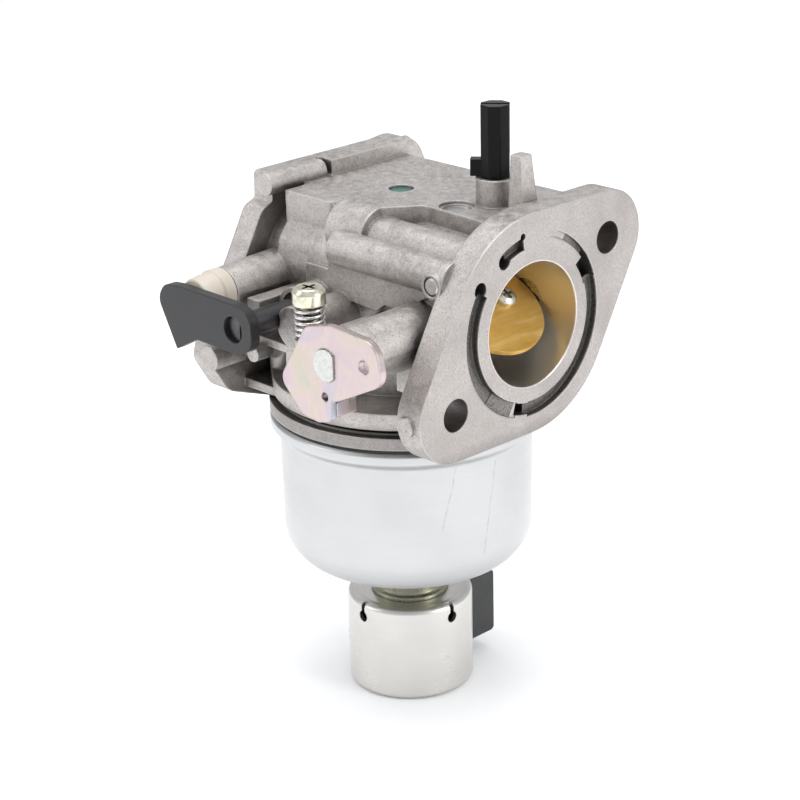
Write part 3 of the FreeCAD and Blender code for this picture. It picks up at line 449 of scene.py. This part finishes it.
# the choke shaft is coloured near black: partly its own dark steel, partly painted shade in the gap behind
# the choke lever
dress(steel("dark_steel_and_shade", (0.10, 0.10, 0.105), 0.28, 0.42), "choke_shaft")
dress(steel("bright_steel", (0.62, 0.63, 0.60), 0.20, 0.36), "throttle_shaft", "throttle_plate_screws",
      "choke_plate_screws", "float_pin", "mixture_needle", "inlet_needle", "plunger", "float_arm")
dress(spring_wire, "idle_speed_spring", "mixture_spring", "plunger_spring")
dress(steel("copper_winding", (0.72, 0.32, 0.14), 0.30, 0.5), "solenoid_coil")
dress(brass("plate_brass", (1.0, 0.15, 1.0)), "throttle_plate", "choke_plate")
dress(brass("turned_brass", (1.0, 1.0, 4.0)), "main_jet", "main_nozzle", "pilot_jet", "inlet_seat",
      "solenoid_terminals")

dress(moulded("green_sealant", (0.02, 0.09, 0.075), (0.07, 0.20, 0.16), 0.15, 0.35), "deck_seal_plug")
dress(moulded("satin_black", (0.012, 0.012, 0.013), (0.035, 0.035, 0.037), 0.30, 0.45), "choke_lever")
dress(moulded("gloss_black", (0.004, 0.004, 0.004), (0.009, 0.009, 0.009), 0.12, 0.22, 0.01 * MM,
              Specular_IOR_Level=0.12), "limiter_cap")
dress(moulded("connector_black", (0.018, 0.018, 0.019), (0.05, 0.05, 0.05), 0.38, 0.52),
      "solenoid_connector", "solenoid_bobbin")
dress(moulded("natural_nylon", (0.56, 0.50, 0.42), (0.66, 0.60, 0.53), 0.35, 0.5,
              Subsurface_Weight=0.15, Subsurface_Scale=1 * MM), "fuel_inlet_fitting")
dress(moulded("black_rubber", (0.012, 0.012, 0.012), (0.04, 0.04, 0.04), 0.55, 0.75),
      "bowl_gasket", "throttle_seal", "plunger_tip", "inlet_needle_tip")
dress(moulded("float_foam", (0.05, 0.048, 0.045), (0.10, 0.095, 0.09), 0.6, 0.8, 0.2 * MM), "float")
dress(moulded("fibre", (0.30, 0.18, 0.11), (0.42, 0.28, 0.18), 0.6, 0.8),
      "bowl_inner_washer", "solenoid_washer")


# ---------------------------------------------------------------- plunger's return spring
def coil(name, centre, radius, wire, low, high, turns):
    """Coil of round wire about a vertical axis, its ends capped."""
    sides, rings_per_turn = 12, 32
    shape = bmesh.new()
    rings = []
    count = int(turns * rings_per_turn)
    for i in range(count + 1):
        angle = 2 * math.pi * turns * i / count
        out = Vector((math.cos(angle), math.sin(angle), 0))
        middle = Vector(centre) + out * radius
        middle.z = low + (high - low) * i / count
        ring = []
        for k in range(sides):
            spin = 2 * math.pi * k / sides
            rim = out * math.cos(spin) + Vector((0, 0, math.sin(spin)))
            ring.append(shape.verts.new(middle + rim * wire))
        rings.append(ring)
    for near, far in zip(rings, rings[1:]):
        for k in range(sides):
            shape.faces.new((near[k], near[k - 1], far[k - 1], far[k]))
    shape.faces.new(rings[0])
    shape.faces.new(rings[-1])
    bmesh.ops.recalc_face_normals(shape, faces=shape.faces)
    mesh = bpy.data.meshes.new(name)
    shape.to_mesh(mesh)
    shape.free()
    mesh.shade_smooth()
    made = bpy.data.objects.new(name, mesh)
    scene.collection.objects.link(made)
    return made


def plunger_spring():
    """The plunger's return spring, built as a coil of round wire in place of the part's own."""
    low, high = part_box("plunger_spring")
    wire = 0.35 * MM  # radius
    outer = (high.x - low.x) / 2
    centre = ((low.x + high.x) / 2, 0, 0)
    made = coil("return_spring", centre, outer - wire, wire, low.z + wire, high.z - wire, 3.5)
    made.data.materials.append(spring_wire.material)
    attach(made, "carburetor_body")
    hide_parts("plunger_spring")
    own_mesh(made)


plunger_spring()


# ---------------------------------------------------------------- camera, at the photograph's view
LENS, SENSOR = 98.904, 36.0
CAMERA_AT = Vector((0.268526, -0.296149, 0.140691))
CAMERA_BACK = Vector((0.66937, -0.64798, 0.36342)).normalized()
CAMERA_ROLL = math.radians(-1.35)


def camera():
    data = bpy.data.cameras.new("camera")
    data.sensor_width = SENSOR
    data.lens = LENS
    data.clip_start, data.clip_end = 0.01, 20
    made = bpy.data.objects.new("camera", data)
    scene.collection.objects.link(made)
    level = Vector((0, 0, 1)).cross(CAMERA_BACK).normalized()
    upright = CAMERA_BACK.cross(level)
    right = level * math.cos(CAMERA_ROLL) + upright * math.sin(CAMERA_ROLL)
    up = upright * math.cos(CAMERA_ROLL) - level * math.sin(CAMERA_ROLL)
    turn = Matrix((right, up, CAMERA_BACK)).transposed().to_4x4()
    made.matrix_world = Matrix.Translation(CAMERA_AT) @ turn
    scene.camera = made


camera()

# ---------------------------------------------------------------- floor and light
FLOOR_HALF = 4.0
FLOOR_GAP = 0.1 * MM
LIT_POINT = Vector((-0.03, 0, -0.02))


def floor():
    """Pale floor that glows a little, so that it stays white round the part's shadow."""
    mesh = bpy.data.meshes.new("floor")
    shape = bmesh.new()
    bmesh.ops.create_grid(shape, x_segments=2, y_segments=2, size=FLOOR_HALF)
    shape.to_mesh(mesh)
    shape.free()
    made = bpy.data.objects.new("floor", mesh)
    made.location = (0, 0, cad_box[0].z - FLOOR_GAP)
    scene.collection.objects.link(made)
    f = Finish("pale_floor", colour=(0.97, 0.97, 0.97), rough=0.9, Specular_IOR_Level=0.1,
               Emission_Color=(1, 1, 1, 1), Emission_Strength=0.12)
    mesh.materials.append(f.material)


def softbox(name, at, width, height, power):
    """A white rectangle of light, turned to the part."""
    data = bpy.data.lights.new(name, "AREA")
    data.shape = "RECTANGLE"
    data.size, data.size_y = width, height
    data.energy = power
    made = bpy.data.objects.new(name, data)
    made.location = at
    made.rotation_euler = (LIT_POINT - Vector(at)).to_track_quat("-Z", "Y").to_euler()
    scene.collection.objects.link(made)


def sky():
    """Even, slightly cool light from all round."""
    world = bpy.data.worlds.new("studio")
    scene.world = world
    world.use_nodes = True
    background = world.node_tree.nodes["Background"].inputs
    background["Color"].default_value = (0.95, 0.97, 1.0, 1)
    background["Strength"].default_value = 0.66


floor()
softbox("top_light", (-0.05, -0.05, 0.85), 0.7, 0.7, 6.0)
softbox("left_light", (-0.55, -0.75, 0.45), 0.4, 0.6, 1.55)
softbox("right_light", (0.85, 0.25, 0.35), 0.4, 0.6, 3.2)
sky()
scene.view_settings.view_transform = "Standard"
